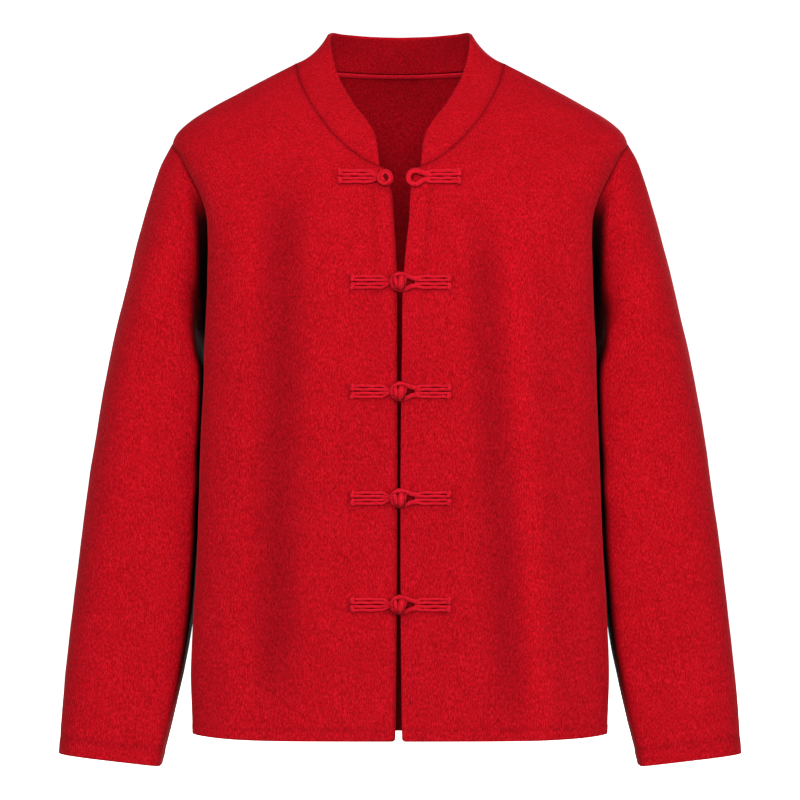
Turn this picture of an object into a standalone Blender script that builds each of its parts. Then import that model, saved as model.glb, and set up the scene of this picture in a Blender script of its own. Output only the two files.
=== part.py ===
"""Tang jacket of felted wool, filled out as if worn, open and hollow.

Seventeen sewn pieces: two fronts, a back, two set-in sleeves, a stand collar, a tape
inside the back neck, and five frogs of a knot half and a loop half each. The top frog is
undone and the other four are fastened.

Frame: +Z up, +X to the wearer's left, the front faces -Y. The origin is midway between
the two points where the shoulder seams meet the neck. A "drop" is a distance below it.
Sizes are in millimetres and are turned to metres when a mesh is made.
"""

import bmesh
import bpy
import numpy as np

MM = 0.001

# ---- driving sizes ----------------------------------------------------------------
WALL = 2.0  # felted wool, one layer
COLLAR_WALL = 3.0  # two layers
SEAM_GAP = 0.3  # between sewn pieces
HEM_DROP = 623.0
NECK_HALF_WIDTH = 96.0
FRONT_NECK_DROP = 100.0
FRONT_NECK_X = 13.0  # where each neckline ends at the front edge
NECKLINE_POWER = 1.5
BACK_NECK_DROP = 4.8
SHOULDER_TIP_DROP = 75.0
UNDERARM_DROP = 225.0
ARMHOLE_FRONT_REACH = 40.0
ARMHOLE_FRONT_SKEW = 9.0
ARMHOLE_BACK_REACH = 52.0
COLLAR_BOW = 1.5
MITRE_LIMIT = 0.55  # the cosine beyond which a corner's mitre gets no longer
TAPE_WIDTH = 4.0
TAPE_THICKNESS = 1.0
TAPE_LIFT = 1.2  # off the back's inner side
TAPE_DROP = 1.2  # below the neck seam
TAPE_ENDS = (96, 264)  # turns, a little behind the two shoulder seams

FROG_DROPS = (109.0, 205.0, 304.0, 401.0, 498.0)

# ---- grids ------------------------------------------------------------------------
SIDE_ROWS = 9  # hem to underarm
FRONT_CHEST_ROWS = 4  # underarm level to the front neck point
FRONT_YOKE_ROWS = 6  # along the front neckline
BACK_CHEST_ROWS = 5
BACK_YOKE_ROWS = 6
PANEL_COLUMNS = 12
COLLAR_ROWS = 3


class Rows:
    """Rows of named sizes, read between the rows on a smooth curve through them."""

    def __init__(self, names, *rows):
        self.columns = dict(zip(names.split(), np.array(rows, float).T, strict=True))
        self.key = self.columns[names.split()[0]]

    def at(self, name, place):
        """Cubic curve through the rows, whose slope at a row is that of its neighbours."""
        values = self.columns[name]
        slopes = np.gradient(values, self.key)
        place = np.clip(place, self.key[0], self.key[-1])
        i = np.clip(np.searchsorted(self.key, place, "right") - 1, 0, len(self.key) - 2)
        span = self.key[i + 1] - self.key[i]
        s = (place - self.key[i]) / span
        return (
            values[i] * (1 + 2 * s) * (1 - s) ** 2
            + slopes[i] * span * s * (1 - s) ** 2
            + values[i + 1] * s**2 * (3 - 2 * s)
            + slopes[i + 1] * span * s**2 * (s - 1)
        )


# Level outlines of the torso: half width, depth of the widest line, foremost and
# hindmost depth at the centre, and how square the front and back halves are.
TORSO = Rows(
    "drop half_width ridge front back front_square back_square",
    (0, 96, 5, -10, 70, 2.5, 2.3),
    (11, 117.5, 4, -23, 77, 2.5, 2.3),
    (25, 144, 4, -36, 84, 2.5, 2.4),
    (39, 169, 3, -48, 90, 2.5, 2.5),
    (53, 192, 2, -58, 94, 2.5, 2.7),
    (67, 207, 0, -67, 97, 2.6, 3.0),
    (75, 210.5, -2, -72, 98, 2.6, 3.2),
    (88, 205, -15, -80, 100, 2.6, 3.6),
    (102, 196, -31, -88, 102, 2.7, 3.9),
    (119, 186, -46, -94, 104, 2.7, 4.1),
    (140, 178, -56, -100, 105, 2.8, 4.2),
    (165, 176, -59, -106, 105, 2.8, 4.0),
    (200, 176.5, -59, -111, 104, 2.8, 3.4),
    (225, 177, -58, -112, 103, 2.8, 2.8),
    (260, 179, -57, -112, 101, 2.8, 2.6),
    (312, 181, -55, -110, 98, 2.8, 2.5),
    (358, 183, -53, -108, 95, 2.8, 2.5),
    (405, 184.5, -52, -105, 94, 2.8, 2.5),
    (450, 186, -50, -103, 95, 2.8, 2.5),
    (497, 189, -48, -102, 97, 2.8, 2.5),
    (560, 192, -47, -100, 99, 2.8, 2.5),
    (623, 192, -46, -100, 100, 2.8, 2.5),
)

# The two front edges: how far each stands from the middle.
FRONT_EDGE = Rows(
    "drop right left",
    (100, 13, 13),
    (121, 7.4, 9.6),
    (147, 5.4, 8.2),
    (171, 3.8, 5.6),
    (192, 2.8, 3.6),
    (221, 2.4, 2.1),
    (262, 2.5, 1.8),
    (300, 2.3, 1.2),
    (539, 3.1, 0.8),
    (575, 3.5, 1.2),
    (623, 4.1, 1.7),
)

# Soft folds that hang down the fronts: x at the top and at the hem, where they begin
# and fade, half width and depth. A negative depth is a ridge. They start beyond the frogs.
FOLD_CLEAR = (58, 84)
FOLDS = (
    {"top": -96, "foot": -124, "start": 110, "end": 560, "spread": 17, "depth": 3.0},
    {"top": -140, "foot": -150, "start": 160, "end": 640, "spread": 15, "depth": -1.5},
    {"top": 84, "foot": 108, "start": 150, "end": 600, "spread": 17, "depth": 2.6},
    {"top": 128, "foot": 136, "start": 190, "end": 640, "spread": 16, "depth": -1.5},
)

# The collar's top edge, by station: 0 front end, 1 shoulder seam, 2 centre back.
COLLAR_TOP = Rows(
    "station x y z",
    (0.0, 22, -69, -68),
    (0.25, 31, -61, -54),
    (0.5, 43, -46, -38),
    (0.75, 58, -21, -10),
    (1.0, 66, 2, 21.5),
    (1.25, 64.5, 25, 29.5),
    (1.5, 52, 41, 29),
    (1.75, 28, 50.5, 27.5),
    (2.0, 0, 53, 26.8),
)

# The sleeve's rings: where its outer and inner lines lie, and its front and back depth.
# The first is the flat ring nearest to the armhole; the last is the cuff.
SLEEVE = Rows(
    "ring outer_x outer_drop inner_x inner_drop front back",
    (0, 210.5, 75, 173.4, 225, -46, 52),
    (1, 222, 99, 175.5, 231, -51, 60),
    (2, 233.5, 133, 176, 241, -53, 67),
    (3, 245.5, 176, 175.5, 256, -53, 71),
    (4, 257.5, 226, 177.0, 276, -53, 71),
    (5, 269, 275, 178.6, 303, -52, 69),
    (6, 281, 343, 180.5, 361, -50, 64),
    (7, 292.5, 421, 185.5, 435, -48, 56),
    (8, 303.5, 511, 195, 523, -46, 46),
    (9, 310.5, 575, 206, 587, -45, 38),
    (10, 315, 638, 221, 649, -45, 28),
)
SLEEVE_STEPS = (0, 0.5, 1, 1.5, 2, 3, 4, 5, 6, 7, 8, 9, 10)
SLEEVE_SQUARE = 2.6
CAP_RINGS = 4.0  # over how many rings the armhole's own shape fades into the sleeve's

# A knot half's sections, from the tail's end bar to the top of the ball. Along is the
# distance from the ball's middle towards the tail; lift is the height of the section's
# middle over the cloth and tip how far it leans up; half_wide and half_thick are its
# sizes, and flat is 1 for a ridged tail and 0 for a round cord.
KNOT = Rows(
    "step along lift tip half_wide half_thick flat",
    (0, 43.6, 2.3, 0, 7.2, 1.9, 0.7),
    (1, 39.4, 2.3, 0, 7.2, 1.9, 0.7),
    (2, 39.0, 2.0, 0, 6.6, 1.6, 1),
    (3, 12.5, 2.0, 0, 6.4, 1.6, 1),
    (4, 9.5, 1.7, 0, 2.4, 1.2, 0),
    (5, 4.0, 1.7, 0, 2.0, 1.1, 0),
    (6, 0.6, 2.5, 45, 2.1, 1.4, 0),
    (7, 0, 4.6, 90, 2.1, 2.1, 0),
)
BALL_HALF_WIDE = 7.8
BALL_HALF_THICK = 5.4
BALL_LIFT = 11.3  # its middle over the cloth
BALL_ANGLES = (36, 62, 90, 118, 146, 166)

# A loop half's upper strand, from the end bar to the far side of the eye; the lower one
# mirrors it. Along is measured from the eye's centre towards the tail, for a fastened
# eye, which lifts over the knot's stem, and for the open one.
LOOP = Rows(
    "step along wide lift half_wide half_thick flat open_along open_wide open_lift",
    (0, 46.4, 3.75, 2.3, 3.6, 1.9, 0.7, 42.4, 3.75, 2.3),
    (1, 42.0, 3.75, 2.3, 3.6, 1.9, 0.7, 38.0, 3.75, 2.3),
    (2, 41.6, 3.35, 2.0, 3.2, 1.6, 1, 37.6, 3.35, 2.0),
    (3, 14.5, 3.3, 2.0, 3.1, 1.6, 1, 10.5, 3.3, 2.0),
    (4, 11.0, 2.6, 2.2, 2.3, 1.6, 0, 7.6, 2.8, 2.2),
    (5, 6.5, 5.0, 2.2, 2.3, 1.6, 0, 4.0, 5.2, 2.3),
    (6, 1.0, 6.6, 2.4, 2.3, 1.6, 0, 0.0, 5.9, 2.3),
    (7, -4.9, 4.7, 3.9, 2.1, 1.3, 0, -4.2, 4.1, 2.3),
    (8, -7.2, 0.0, 4.35, 1.9, 1.2, 0, -5.9, 0.0, 2.3),
)
RIDGE_CREST = 1.0  # a tail's top over its strands, as a share of its half thickness
RIDGE_VALLEY = 0.58
RIDGE_EDGE = 0.25
UNDERSIDE_SPREAD = 1.2  # a tail's underside corners stand out to its full width
KNOT_X = -2.0  # the middle of a fastened ball
LOOP_X = 0.4  # the middle of a fastened eye
OPEN_KNOT_X = -13.7
OPEN_LOOP_X = 13.6


# ---- the torso's form -------------------------------------------------------------
def unit(v):
    return v / np.maximum(np.linalg.norm(v, axis=-1, keepdims=True), 1e-12)


def smooth_step(x, low, high):
    """0 below low, 1 above high, and an S-shaped curve between."""
    s = np.clip((x - low) / (high - low), 0, 1)
    return s * s * (3 - 2 * s)


def fold_depth(x, drop):
    """How far the soft folds push the front in: a bell across each fold's drifting line,
    fading at both ends and clear of the frogs."""
    total = 0.0
    for f in FOLDS:
        drift = (drop - f["start"]) / (HEM_DROP - f["start"])
        line = f["top"] + (f["foot"] - f["top"]) * drift
        along = smooth_step(drop, f["start"] - 40, f["start"] + 60)
        along = along * (1 - smooth_step(drop, f["end"] - 60, f["end"] + 40))
        total = total + f["depth"] * along * np.exp(-0.5 * ((x - line) / f["spread"]) ** 2)
    return total * smooth_step(np.abs(x), *FOLD_CLEAR)


def torso(turn, drop):
    """A point of the cloth. Turn goes round from 0 at the centre front over 90 degrees at
    the widest line to 180 at the centre back; the outline is an ellipse swollen towards
    its box, with its own depth and squareness for the front and the back half."""
    turn, drop = np.broadcast_arrays(np.radians(turn), np.asarray(drop, float))
    s, c = np.sin(turn), np.cos(turn)
    ahead = c > 0
    ridge = TORSO.at("ridge", drop)
    square = np.where(ahead, TORSO.at("front_square", drop), TORSO.at("back_square", drop))
    forward, behind = ridge - TORSO.at("front", drop), TORSO.at("back", drop) - ridge
    depth = np.where(ahead, forward, behind)
    swell = (np.abs(s) ** square + np.abs(c) ** square) ** (-1 / square)
    x = TORSO.at("half_width", drop) * s * swell
    y = ridge - depth * c * swell
    y = y + fold_depth(x, drop) * smooth_step(c * swell, 0, 0.5)
    return np.stack([x, y, -drop], -1)


def torso_normal(turn, drop):
    """The outward direction, across two small steps round and down the form."""
    round_ = torso(turn + 0.2, drop) - torso(turn - 0.2, drop)
    down = torso(turn, drop + 0.2) - torso(turn, np.maximum(drop - 0.2, 0))
    return unit(np.cross(down, round_))


def turn_at_x(x, drop):
    """The turn at which the front half passes a given x: the outline's formula undone."""
    square = TORSO.at("front_square", drop)
    share = np.clip(np.abs(x) / TORSO.at("half_width", drop), 1e-9, 1)
    return np.sign(x) * np.degrees(np.arctan2(1, (share**-square - 1) ** (1 / square)))


def turn_at_y(y, drop):
    """The turn, up to 180 degrees, at which the outline passes a given depth."""
    ridge = TORSO.at("ridge", drop)
    ahead = y < ridge
    square = np.where(ahead, TORSO.at("front_square", drop), TORSO.at("back_square", drop))
    forward, behind = ridge - TORSO.at("front", drop), TORSO.at("back", drop) - ridge
    depth = np.where(ahead, forward, behind)
    share = np.clip(np.abs(y - ridge) / depth, 1e-9, 1)
    away = np.degrees(np.arctan2((share**-square - 1) ** (1 / square), 1))
    return np.where(ahead, away, 180 - away)


def front_point(x, drop):
    """The point of the front at a given x, with the outward direction there."""
    turn = turn_at_x(x, drop)
    return torso(turn, drop), torso_normal(turn, drop)


# ---- seam lines, as (turn, drop) pairs -----------------------------------------------
def side_seam():
    drop = np.linspace(HEM_DROP, UNDERARM_DROP, SIDE_ROWS + 1)
    return np.stack([turn_at_y(0.0, drop), drop], -1)


def armhole(angle, back):
    """The armhole at an angle down from the shoulder tip: its height follows a cosine,
    and its reach forward or back a sine, fuller above the middle in front."""
    a = np.radians(angle)
    middle = (UNDERARM_DROP + SHOULDER_TIP_DROP) / 2
    drop = middle - (UNDERARM_DROP - SHOULDER_TIP_DROP) / 2 * np.cos(a)
    tip_y = TORSO.at("ridge", SHOULDER_TIP_DROP)
    start = tip_y * (1 + np.cos(a)) / 2
    if back:
        y = start + ARMHOLE_BACK_REACH * np.sin(a)
    else:
        y = start - ARMHOLE_FRONT_REACH * np.sin(a) - ARMHOLE_FRONT_SKEW * np.sin(2 * a)
    turn = turn_at_y(y, drop)
    turn = np.where(angle < 0.01, 90.0, turn)
    return np.stack([turn, drop], -1)


def armhole_angles(chest_rows, yoke_rows):
    """From the underarm (180) up to the shoulder tip (0), in even steps."""
    return np.linspace(180, 0, chest_rows + yoke_rows + 1)


def front_neckline(steps):
    """From the front edge to the shoulder: a superellipse quarter."""
    a = np.radians(np.linspace(90, 0, steps + 1))
    reach = NECK_HALF_WIDTH - FRONT_NECK_X
    x = FRONT_NECK_X + reach * np.clip(np.cos(a), 0, 1) ** (2 / NECKLINE_POWER)
    drop = FRONT_NECK_DROP * np.clip(np.sin(a), 0, 1) ** (2 / NECKLINE_POWER)
    return np.stack([turn_at_x(x, drop), drop], -1)


def back_neck_drop(turn):
    """How low the back neck seam lies: a cosine to the fourth, so it dips at the middle."""
    return BACK_NECK_DROP * np.cos(np.radians(turn)) ** 4


def back_neckline(steps):
    """From the centre back to the shoulder, rising a little."""
    turn = np.linspace(180, 90, steps + 1)
    return np.stack([turn, back_neck_drop(turn)], -1)


# ---- grids to shells --------------------------------------------------------------
def grid_normals(grid, closed):
    """Outward directions on a grid, from the steps between its points."""
    if closed:
        wide = np.concatenate([grid[:, -1:], grid, grid[:, :1]], 1)
        across = (wide[:, 2:] - wide[:, :-2]) / 2
    else:
        across = np.gradient(grid, axis=1)
    return unit(np.cross(across, np.gradient(grid, axis=0)))


def pulled(line, normal, inward):
    """A seam line drawn back by half the seam's gap, in the cloth and square to the seam."""
    into = unit(np.cross(normal, np.gradient(line, axis=0)))
    into = into * np.sign((into * inward).sum(-1, keepdims=True))
    return line + into * SEAM_GAP / 2


def mitre(first, second):
    """The direction that halves two walls' corner, long enough to keep their thickness."""
    middle = unit(first + second)
    return middle / np.maximum((middle * first).sum(-1, keepdims=True), MITRE_LIMIT)


def shell(name, outer, inner, charts):
    """One closed wall between two sets of points, each chart being a grid of their
    numbers. An edge that only one face of the skin has is a border, and gets a rim."""
    corners = [(c[:-1, :-1], c[:-1, 1:], c[1:, 1:], c[1:, :-1]) for c in charts]
    quads = np.concatenate([np.stack([p.ravel() for p in four], 1) for four in corners])
    edges = np.stack([quads, np.roll(quads, -1, 1)], -1).reshape(-1, 2)
    count = len(outer)
    rim = edges[~np.isin(edges @ [count, 1], edges[:, ::-1] @ [count, 1])]
    start, end = rim.T
    # each rim is split from its upper outer corner, as the rim that it faces is
    higher = (outer[start, 2] > outer[end, 2])[:, None, None]
    down = [[end, start, end + count], [start, start + count, end + count]]
    up = [[end, start, start + count], [end, start + count, end + count]]
    rims = np.where(higher, np.transpose(down, (2, 0, 1)), np.transpose(up, (2, 0, 1)))
    used = np.unique(np.concatenate([quads, quads + count]))
    place = np.full(2 * count, -1)
    place[used] = np.arange(len(used))
    faces = [quads, quads[:, ::-1] + count, rims.reshape(-1, 3)]
    faces = [corner for part in faces for corner in place[part].tolist()]
    add_mesh(name, np.concatenate([outer, inner])[used], faces)


def grid_shell(name, outer, inner, closed=False):
    """A wall between two grids, whose last column meets the first if it is closed."""
    index = np.arange(outer[..., 0].size).reshape(outer.shape[:2])
    if closed:
        index = np.concatenate([index, index[:, :1]], 1)
    shell(name, outer.reshape(-1, 3), inner.reshape(-1, 3), [index])


def twin_shell(name, outer, inner, split_row):
    """A wall of a half grid and its mirror image, which share their first column below
    the split row and part above it."""
    half = np.arange(outer[..., 0].size).reshape(outer.shape[:2])
    twin = half + half.size
    twin[: split_row + 1, 0] = half[: split_row + 1, 0]
    both = [np.concatenate([g, mirrored(g)]).reshape(-1, 3) for g in (outer, inner)]
    shell(name, *both, [half, twin[:, ::-1]])


def add_mesh(name, points, faces):
    """A named object of its own felted-wool material, faces turned outward."""
    mesh = bpy.data.meshes.new(name)
    mesh.from_pydata((points * MM).tolist(), [], faces)
    work = bmesh.new()
    work.from_mesh(mesh)
    bmesh.ops.recalc_face_normals(work, faces=work.faces)
    work.to_mesh(mesh)
    work.free()
    mesh.shade_smooth()
    material = bpy.data.materials.new(name + "_felted_wool")
    material.use_nodes = True
    shader = material.node_tree.nodes["Principled BSDF"]
    shader.inputs["Base Color"].default_value = (0.54, 0.006, 0.015, 1)
    shader.inputs["Roughness"].default_value = 0.92
    shader.inputs["Metallic"].default_value = 0.0
    mesh.materials.append(material)
    bpy.context.collection.objects.link(bpy.data.objects.new(name, mesh))


# ---- the panels -------------------------------------------------------------------
def half_panel(inner_line, outer_line):
    """A half panel's chart, ruled between its inner and outer lines, row by row."""
    share = np.linspace(0, 1, PANEL_COLUMNS + 1)[None, :, None]
    return inner_line[:, None] * (1 - share) + outer_line[:, None] * share


def half_skins(chart, neck_row, neck_mitre, arm_mitre):
    """The outer and inner skins of a half panel on the +X side, drawn back from its side,
    armhole, shoulder and neck seams."""
    skin = torso(chart[..., 0], chart[..., 1])
    normal = torso_normal(chart[..., 0], chart[..., 1])
    thick = normal.copy()
    thick[SIDE_ROWS:, -1] = arm_mitre
    thick[neck_row:, 0] = neck_mitre
    skins = []
    for grid in (skin, skin - thick * WALL):
        eased = grid.copy()
        eased[:, -1] = pulled(grid[:, -1], normal[:, -1], grid[:, -2] - grid[:, -1])
        neck = grid[neck_row:]
        eased[neck_row:, 0] = pulled(neck[:, 0], normal[neck_row:, 0], neck[:, 1] - neck[:, 0])
        eased[-1] = pulled(eased[-1], normal[-1], grid[-2] - grid[-1])
        skins.append(eased)
    return skins


def mirrored(grid):
    return grid * np.array([-1, 1, 1])


# ---- collar and sleeve forms ------------------------------------------------------
def neckline_chart():
    """The neckline of the +X side, from the front edge over the shoulder to the back."""
    back = back_neckline(BACK_YOKE_ROWS)[::-1]
    return np.concatenate([front_neckline(FRONT_YOKE_ROWS), back[1:]])


def collar_grid():
    """From the neck seam up to the top edge, station by station round the +X side, with
    a slight outward bow; row 0 is the seam."""
    chart = neckline_chart()
    base = torso(chart[:, 0], chart[:, 1])
    station = np.concatenate(
        [np.linspace(0, 1, FRONT_YOKE_ROWS + 1), 1 + np.linspace(0, 1, BACK_YOKE_ROWS + 1)[1:]]
    )
    top = np.stack([COLLAR_TOP.at(axis, station) for axis in "xyz"], -1)
    up = np.linspace(0, 1, COLLAR_ROWS + 1)[:, None, None]
    grid = base * (1 - up) + top * up
    out = unit(np.cross(np.gradient(base, axis=0), top - base))
    return grid + out * COLLAR_BOW * 4 * up * (1 - up)


def sleeve_angles():
    front = armhole_angles(FRONT_CHEST_ROWS, FRONT_YOKE_ROWS)[::-1]
    back = 360 - armhole_angles(BACK_CHEST_ROWS, BACK_YOKE_ROWS)
    return np.concatenate([front, back[1:-1]])


def armhole_ring():
    """The armhole's points, round by the front and up the back."""
    angle = sleeve_angles()
    chart = np.where(
        (angle <= 180)[:, None], armhole(angle, False), armhole(360 - angle, True)
    )
    return torso(chart[:, 0], chart[:, 1])


def sleeve_section(ring, angle):
    """An ellipse laid between the ring's outer and inner points, with the ring's depths;
    its front half is swollen towards its box."""
    s, c = np.sin(np.radians(angle)), np.cos(np.radians(angle))
    square = np.where(s > 0, SLEEVE_SQUARE, 2)
    swell = (np.abs(s) ** square + np.abs(c) ** square) ** (-1 / square)
    side = (1 + c * swell) / 2
    x = SLEEVE.at("inner_x", ring) * (1 - side) + SLEEVE.at("outer_x", ring) * side
    drop = SLEEVE.at("inner_drop", ring) * (1 - side) + SLEEVE.at("outer_drop", ring) * side
    front, back = SLEEVE.at("front", ring), SLEEVE.at("back", ring)
    y = (front + back) / 2 + (front - back) / 2 * s * swell
    return np.stack([x, y, -drop], -1)


def sleeve_grid():
    """The sleeve's rings; near the armhole they take its own shape instead."""
    ring, angle = np.array(SLEEVE_STEPS, float)[:, None], sleeve_angles()[None]
    hole = armhole_ring()
    fade = 1 - smooth_step(ring, 0, CAP_RINGS)[..., None]
    return sleeve_section(ring, angle) + fade * (hole - sleeve_section(0.0, sleeve_angles()))


# ---- make the cloth ---------------------------------------------------------------
def edge_drops(top_drop, chest_rows):
    """Heights down a panel's inner edge, from the hem by the underarm level to its top."""
    side = np.linspace(HEM_DROP, UNDERARM_DROP, SIDE_ROWS + 1)
    return np.concatenate([side, np.linspace(UNDERARM_DROP, top_drop, chest_rows + 1)[1:-1]])


def outer_chart(chest_rows, yoke_rows, back):
    """A panel's outer line: the side seam and then the armhole."""
    angles = armhole_angles(chest_rows, yoke_rows)[1:]
    return np.concatenate([side_seam(), armhole(angles, back)])


def front_chart(side, sign):
    """The front's half panel; the -X front has negative turns, because folds differ."""
    drop = edge_drops(FRONT_NECK_DROP, FRONT_CHEST_ROWS)
    edge = np.stack([turn_at_x(FRONT_EDGE.at(side, drop), drop), drop], -1)
    inner_line = np.concatenate([edge, front_neckline(FRONT_YOKE_ROWS)])
    outer_line = outer_chart(FRONT_CHEST_ROWS, FRONT_YOKE_ROWS, False)
    return half_panel(inner_line, outer_line) * [sign, 1]


def back_chart():
    drop = edge_drops(BACK_NECK_DROP, BACK_CHEST_ROWS)
    centre = np.stack([np.full_like(drop, 180.0), drop], -1)
    inner_line = np.concatenate([centre, back_neckline(BACK_YOKE_ROWS)])
    return half_panel(inner_line, outer_chart(BACK_CHEST_ROWS, BACK_YOKE_ROWS, True))


def armhole_normals():
    """Outward directions of the body's cloth round the armhole, in the sleeve's order."""
    chart = front_chart("left", 1)
    front = grid_normals(torso(chart[..., 0], chart[..., 1]), False)[SIDE_ROWS:, -1][::-1]
    chart = back_chart()
    back = -grid_normals(torso(chart[..., 0], chart[..., 1]), False)[SIDE_ROWS:, -1]
    tip, underarm = unit(front[0] + back[-1]), unit(front[-1] + back[0])
    return np.concatenate([[tip], front[1:-1], [underarm], back[1:-1]])


def make_cloth():
    sleeve = sleeve_grid()
    sleeve_normal = grid_normals(sleeve, True)
    arm = mitre(armhole_normals(), sleeve_normal[0])
    collar = collar_grid()
    collar_normal = grid_normals(collar, False)
    chart = neckline_chart()
    neck = mitre(torso_normal(chart[:, 0], chart[:, 1]), collar_normal[0])
    front_steps = FRONT_CHEST_ROWS + FRONT_YOKE_ROWS

    for side, sign in (("right", -1), ("left", 1)):
        flip = np.array([sign, 1, 1])
        skins = half_skins(
            front_chart(side, sign),
            SIDE_ROWS + FRONT_CHEST_ROWS,
            neck[: FRONT_YOKE_ROWS + 1] * flip,
            arm[: front_steps + 1][::-1] * flip,
        )
        grid_shell("front_" + side, *skins)

    neck_row = SIDE_ROWS + BACK_CHEST_ROWS
    back_arm = np.concatenate([arm[front_steps:], arm[:1]])
    skins = half_skins(back_chart(), neck_row, neck[FRONT_YOKE_ROWS:][::-1], back_arm)
    for skin in skins:
        skin[: neck_row + 1, 0, 0] = 0
    twin_shell("back", *skins, neck_row)

    thick = sleeve_normal.copy()
    thick[0] = arm
    grids = []
    for grid in (sleeve, sleeve - thick * WALL):
        eased = grid.copy()
        wide, normal, down = (
            np.concatenate([row[-1:], row, row[:1]])
            for row in (grid[0], sleeve_normal[0], grid[1] - grid[0])
        )
        eased[0] = pulled(wide, normal, down)[1:-1]
        grids.append(eased)
    grid_shell("sleeve_left", *grids, closed=True)
    grid_shell("sleeve_right", *(mirrored(g) for g in grids), closed=True)

    thick = collar_normal.copy()
    thick[0] = neck
    whole = []
    for grid in (collar, collar - thick * COLLAR_WALL):
        eased = grid.copy()
        eased[0] = pulled(grid[0], collar_normal[0], grid[1] - grid[0])
        whole.append(np.concatenate([mirrored(eased)[:, :-1], eased[:, ::-1]], 1))
    grid_shell("collar", *whole)


def make_neck_tape():
    """A narrow tape inside the back neck, just under the seam, moved in off the wall."""
    turn = np.linspace(*TAPE_ENDS, 4 * BACK_YOKE_ROWS + 1)
    drop = back_neck_drop(turn) + np.array([[TAPE_DROP], [TAPE_DROP + TAPE_WIDTH]])
    skin = torso(turn[None], drop)
    normal = torso_normal(turn[None], drop)
    outer = skin - normal * (WALL + TAPE_LIFT)
    grid_shell("neck_tape", outer, outer - normal * TAPE_THICKNESS)


# ---- frogs ------------------------------------------------------------------------
def section(half_wide, half_thick, flat, strands, steps):
    """A cord's outline, across and up: its top runs over strand ridges where it is flat
    and follows half an ellipse where it is round; its underside has three points."""
    top = np.linspace(0, np.pi, steps)
    under = np.radians([225, 270, 315])
    wave = (1 - np.cos(2 * strands * top)) / 2
    ridge = RIDGE_VALLEY + (RIDGE_CREST - RIDGE_VALLEY) * wave
    ridge[[0, -1]] = RIDGE_EDGE
    across = np.concatenate([1 - 2 * np.linspace(0, 1, steps), np.cos(under) * UNDERSIDE_SPREAD])
    flat_up = np.concatenate([ridge, [-1, -1, -1]])
    angle = np.concatenate([top, under])
    wide = half_wide * (across * flat + np.cos(angle) * (1 - flat))
    return np.stack([wide, half_thick * (flat_up * flat + np.sin(angle) * (1 - flat))], -1)


def laid(place, drop, height):
    """Points at x = place and a drop, moved out from the front by a height."""
    base, out = front_point(place, drop)
    return base + out * height[..., None]


def cord_mesh(name, rings):
    """A cord skinned through its rings, with its two ends closed."""
    steps, count = rings.shape[:2]
    index = np.arange(steps * count).reshape(steps, count)
    ring = np.concatenate([index, index[:, :1]], 1)
    quads = np.stack([ring[:-1, :-1], ring[:-1, 1:], ring[1:, 1:], ring[1:, :-1]], -1)
    faces = quads.reshape(-1, 4).tolist() + [index[0][::-1].tolist(), index[-1].tolist()]
    add_mesh(name, rings.reshape(-1, 3), faces)


def make_knot(number, drop, x):
    """The knot half: a tail on the right front, a stem, and a ball lifted off the cloth."""
    rows = [
        [KNOT.columns[name][i] for name in "along lift tip half_wide half_thick flat".split()]
        for i in range(len(KNOT.key))
    ]
    for angle in np.radians(BALL_ANGLES):
        wide = BALL_HALF_WIDE * np.sin(angle)
        rows.append([0, BALL_LIFT - BALL_HALF_THICK * np.cos(angle), 90, wide, wide, 0])
    rings = []
    for along, lift, tip, half_wide, half_thick, flat in rows:
        across, up = section(half_wide, half_thick, flat, 4, 9).T
        lean = np.radians(tip)
        place = x - along - up * np.sin(lean)
        rings.append(laid(place, drop + across, lift + up * np.cos(lean)))
    cord_mesh(f"knot_{number}", np.array(rings))


def make_loop(number, drop, x, fastened):
    """The loop half: one flat cord out along the left front, round the eye and back."""
    names = ("along", "wide", "lift") if fastened else ("open_along", "open_wide", "open_lift")
    along, wide, lift = (LOOP.columns[name] for name in names)
    sizes = [LOOP.columns[name] for name in ("half_wide", "half_thick", "flat")]
    there = np.arange(len(along))
    back = there[-2::-1]
    path = np.stack([along, wide], -1)
    path = np.concatenate([path, path[back] * [1, -1]])
    order = np.concatenate([there, back])
    heading = unit(np.gradient(path, axis=0))
    heading[:4] = [-1, 0]  # the end bar and the tail run straight
    heading[-4:] = [1, 0]
    rings = []
    for i, (middle, ahead) in enumerate(zip(path, heading, strict=True)):
        k = order[i]
        across, up = section(sizes[0][k], sizes[1][k], sizes[2][k], 2, 5).T
        side = np.array([-ahead[1], ahead[0]])
        spot = middle + across[:, None] * side
        rings.append(laid(x + spot[:, 0], drop - spot[:, 1], lift[k] + up))
    cord_mesh(f"loop_{number}", np.array(rings))


def make_frogs():
    for number, drop in enumerate(FROG_DROPS, 1):
        fastened = number > 1
        make_knot(number, drop, KNOT_X if fastened else OPEN_KNOT_X)
        make_loop(number, drop, LOOP_X if fastened else OPEN_LOOP_X, fastened)


def main():
    for thing in list(bpy.data.objects):
        bpy.data.objects.remove(thing, do_unlink=True)
    make_cloth()
    make_neck_tape()
    make_frogs()


main()
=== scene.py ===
"""Looks of a tang jacket of red felted wool, filled out as if worn, open and hollow.

Every panel is a thin shell on the cut's own form: a point is found from how far round the
body it is and how far below the neck point. Lengths in the tables are millimetres.
"""

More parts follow.
